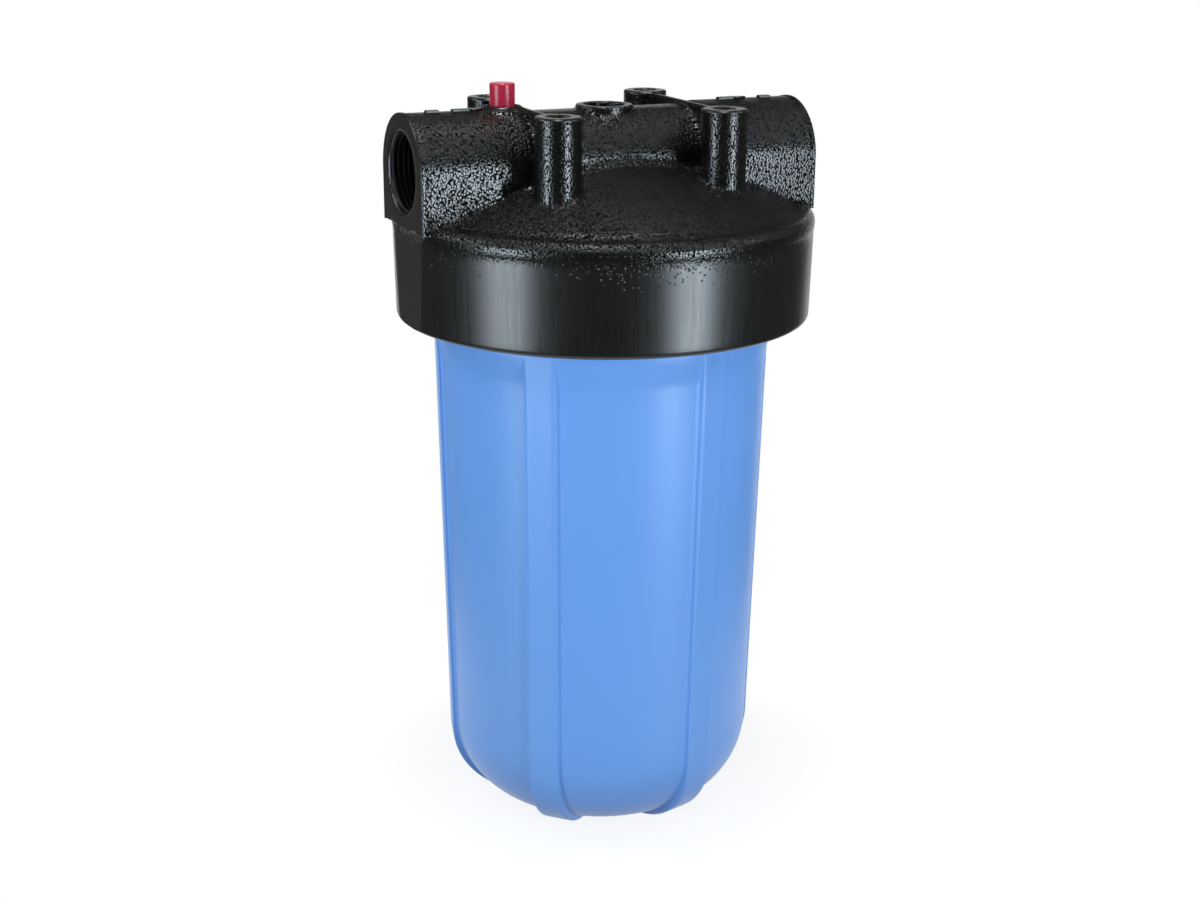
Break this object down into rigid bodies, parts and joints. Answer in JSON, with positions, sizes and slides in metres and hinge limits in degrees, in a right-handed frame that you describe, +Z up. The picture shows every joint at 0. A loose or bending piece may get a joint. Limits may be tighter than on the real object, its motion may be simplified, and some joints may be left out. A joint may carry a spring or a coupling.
{
  "type": "water filter housing",
  "caption": "Whole-house water filter housing: black cap with threaded side ports, bracket posts and relief button, over a ribbed blue screw-on bowl that holds a pleated cartridge.",
  "frame": {"origin": "on the floor under the centre of the bowl, at the bottom centre of the whole box", "axes": "+Z up along the bowl, +X along the ports towards the outlet, +Y to the back"},
  "size_m": [0.184, 0.184, 0.333],
  "materials": {
    "cap_plastic": "leather grain above, satin skirt",
    "bowl_plastic": "satin",
    "seal_rubber": "matte",
    "button_plastic": "semi-gloss",
    "steel": "bright",
    "gasket_rubber": "matte",
    "cartridge_plastic": "satin",
    "filter_sheet": "felted sheet"
  },
  "bodies": {
    "cap": {"head": "cap_plastic", "relief_ring": "steel", "relief_spring": "steel"},
    "relief_valve": {"relief_button": "button_plastic", "relief_stem": "steel", "relief_seal": "seal_rubber"},
    "bowl_seal": {"sump_o_ring": "seal_rubber"},
    "bowl": {"sump": "bowl_plastic", "cartridge_bottom_gasket": "gasket_rubber", "cartridge_bottom_cap": "cartridge_plastic", "cartridge_core": "cartridge_plastic", "cartridge_pleats": "filter_sheet", "cartridge_top_cap": "cartridge_plastic", "cartridge_top_gasket": "gasket_rubber"}
  },
  "joints": [
    {"name": "relief_press", "type": "slide", "parent": "cap", "child": "relief_valve", "axis": [0, 0, -1], "range_m": [0, 0.003], "stiffness_N_per_m": 1500, "springref_m": -0.003, "deforming": ["relief_spring"]},
    {"name": "bowl_drop", "type": "slide", "parent": "cap", "child": "bowl_seal", "axis": [0, 0, -1], "range_m": [0, 0.03]},
    {"name": "bowl_turn", "type": "hinge", "parent": "bowl_seal", "child": "bowl", "pos_m": [0, 0, 0.25], "axis": [0, 0, -1], "range_deg": [0, 1800]}
  ],
  "couplings": [
    {"joint": "bowl_drop", "follows": "bowl_turn", "m_per_rad": 0.00095492}
  ]
}
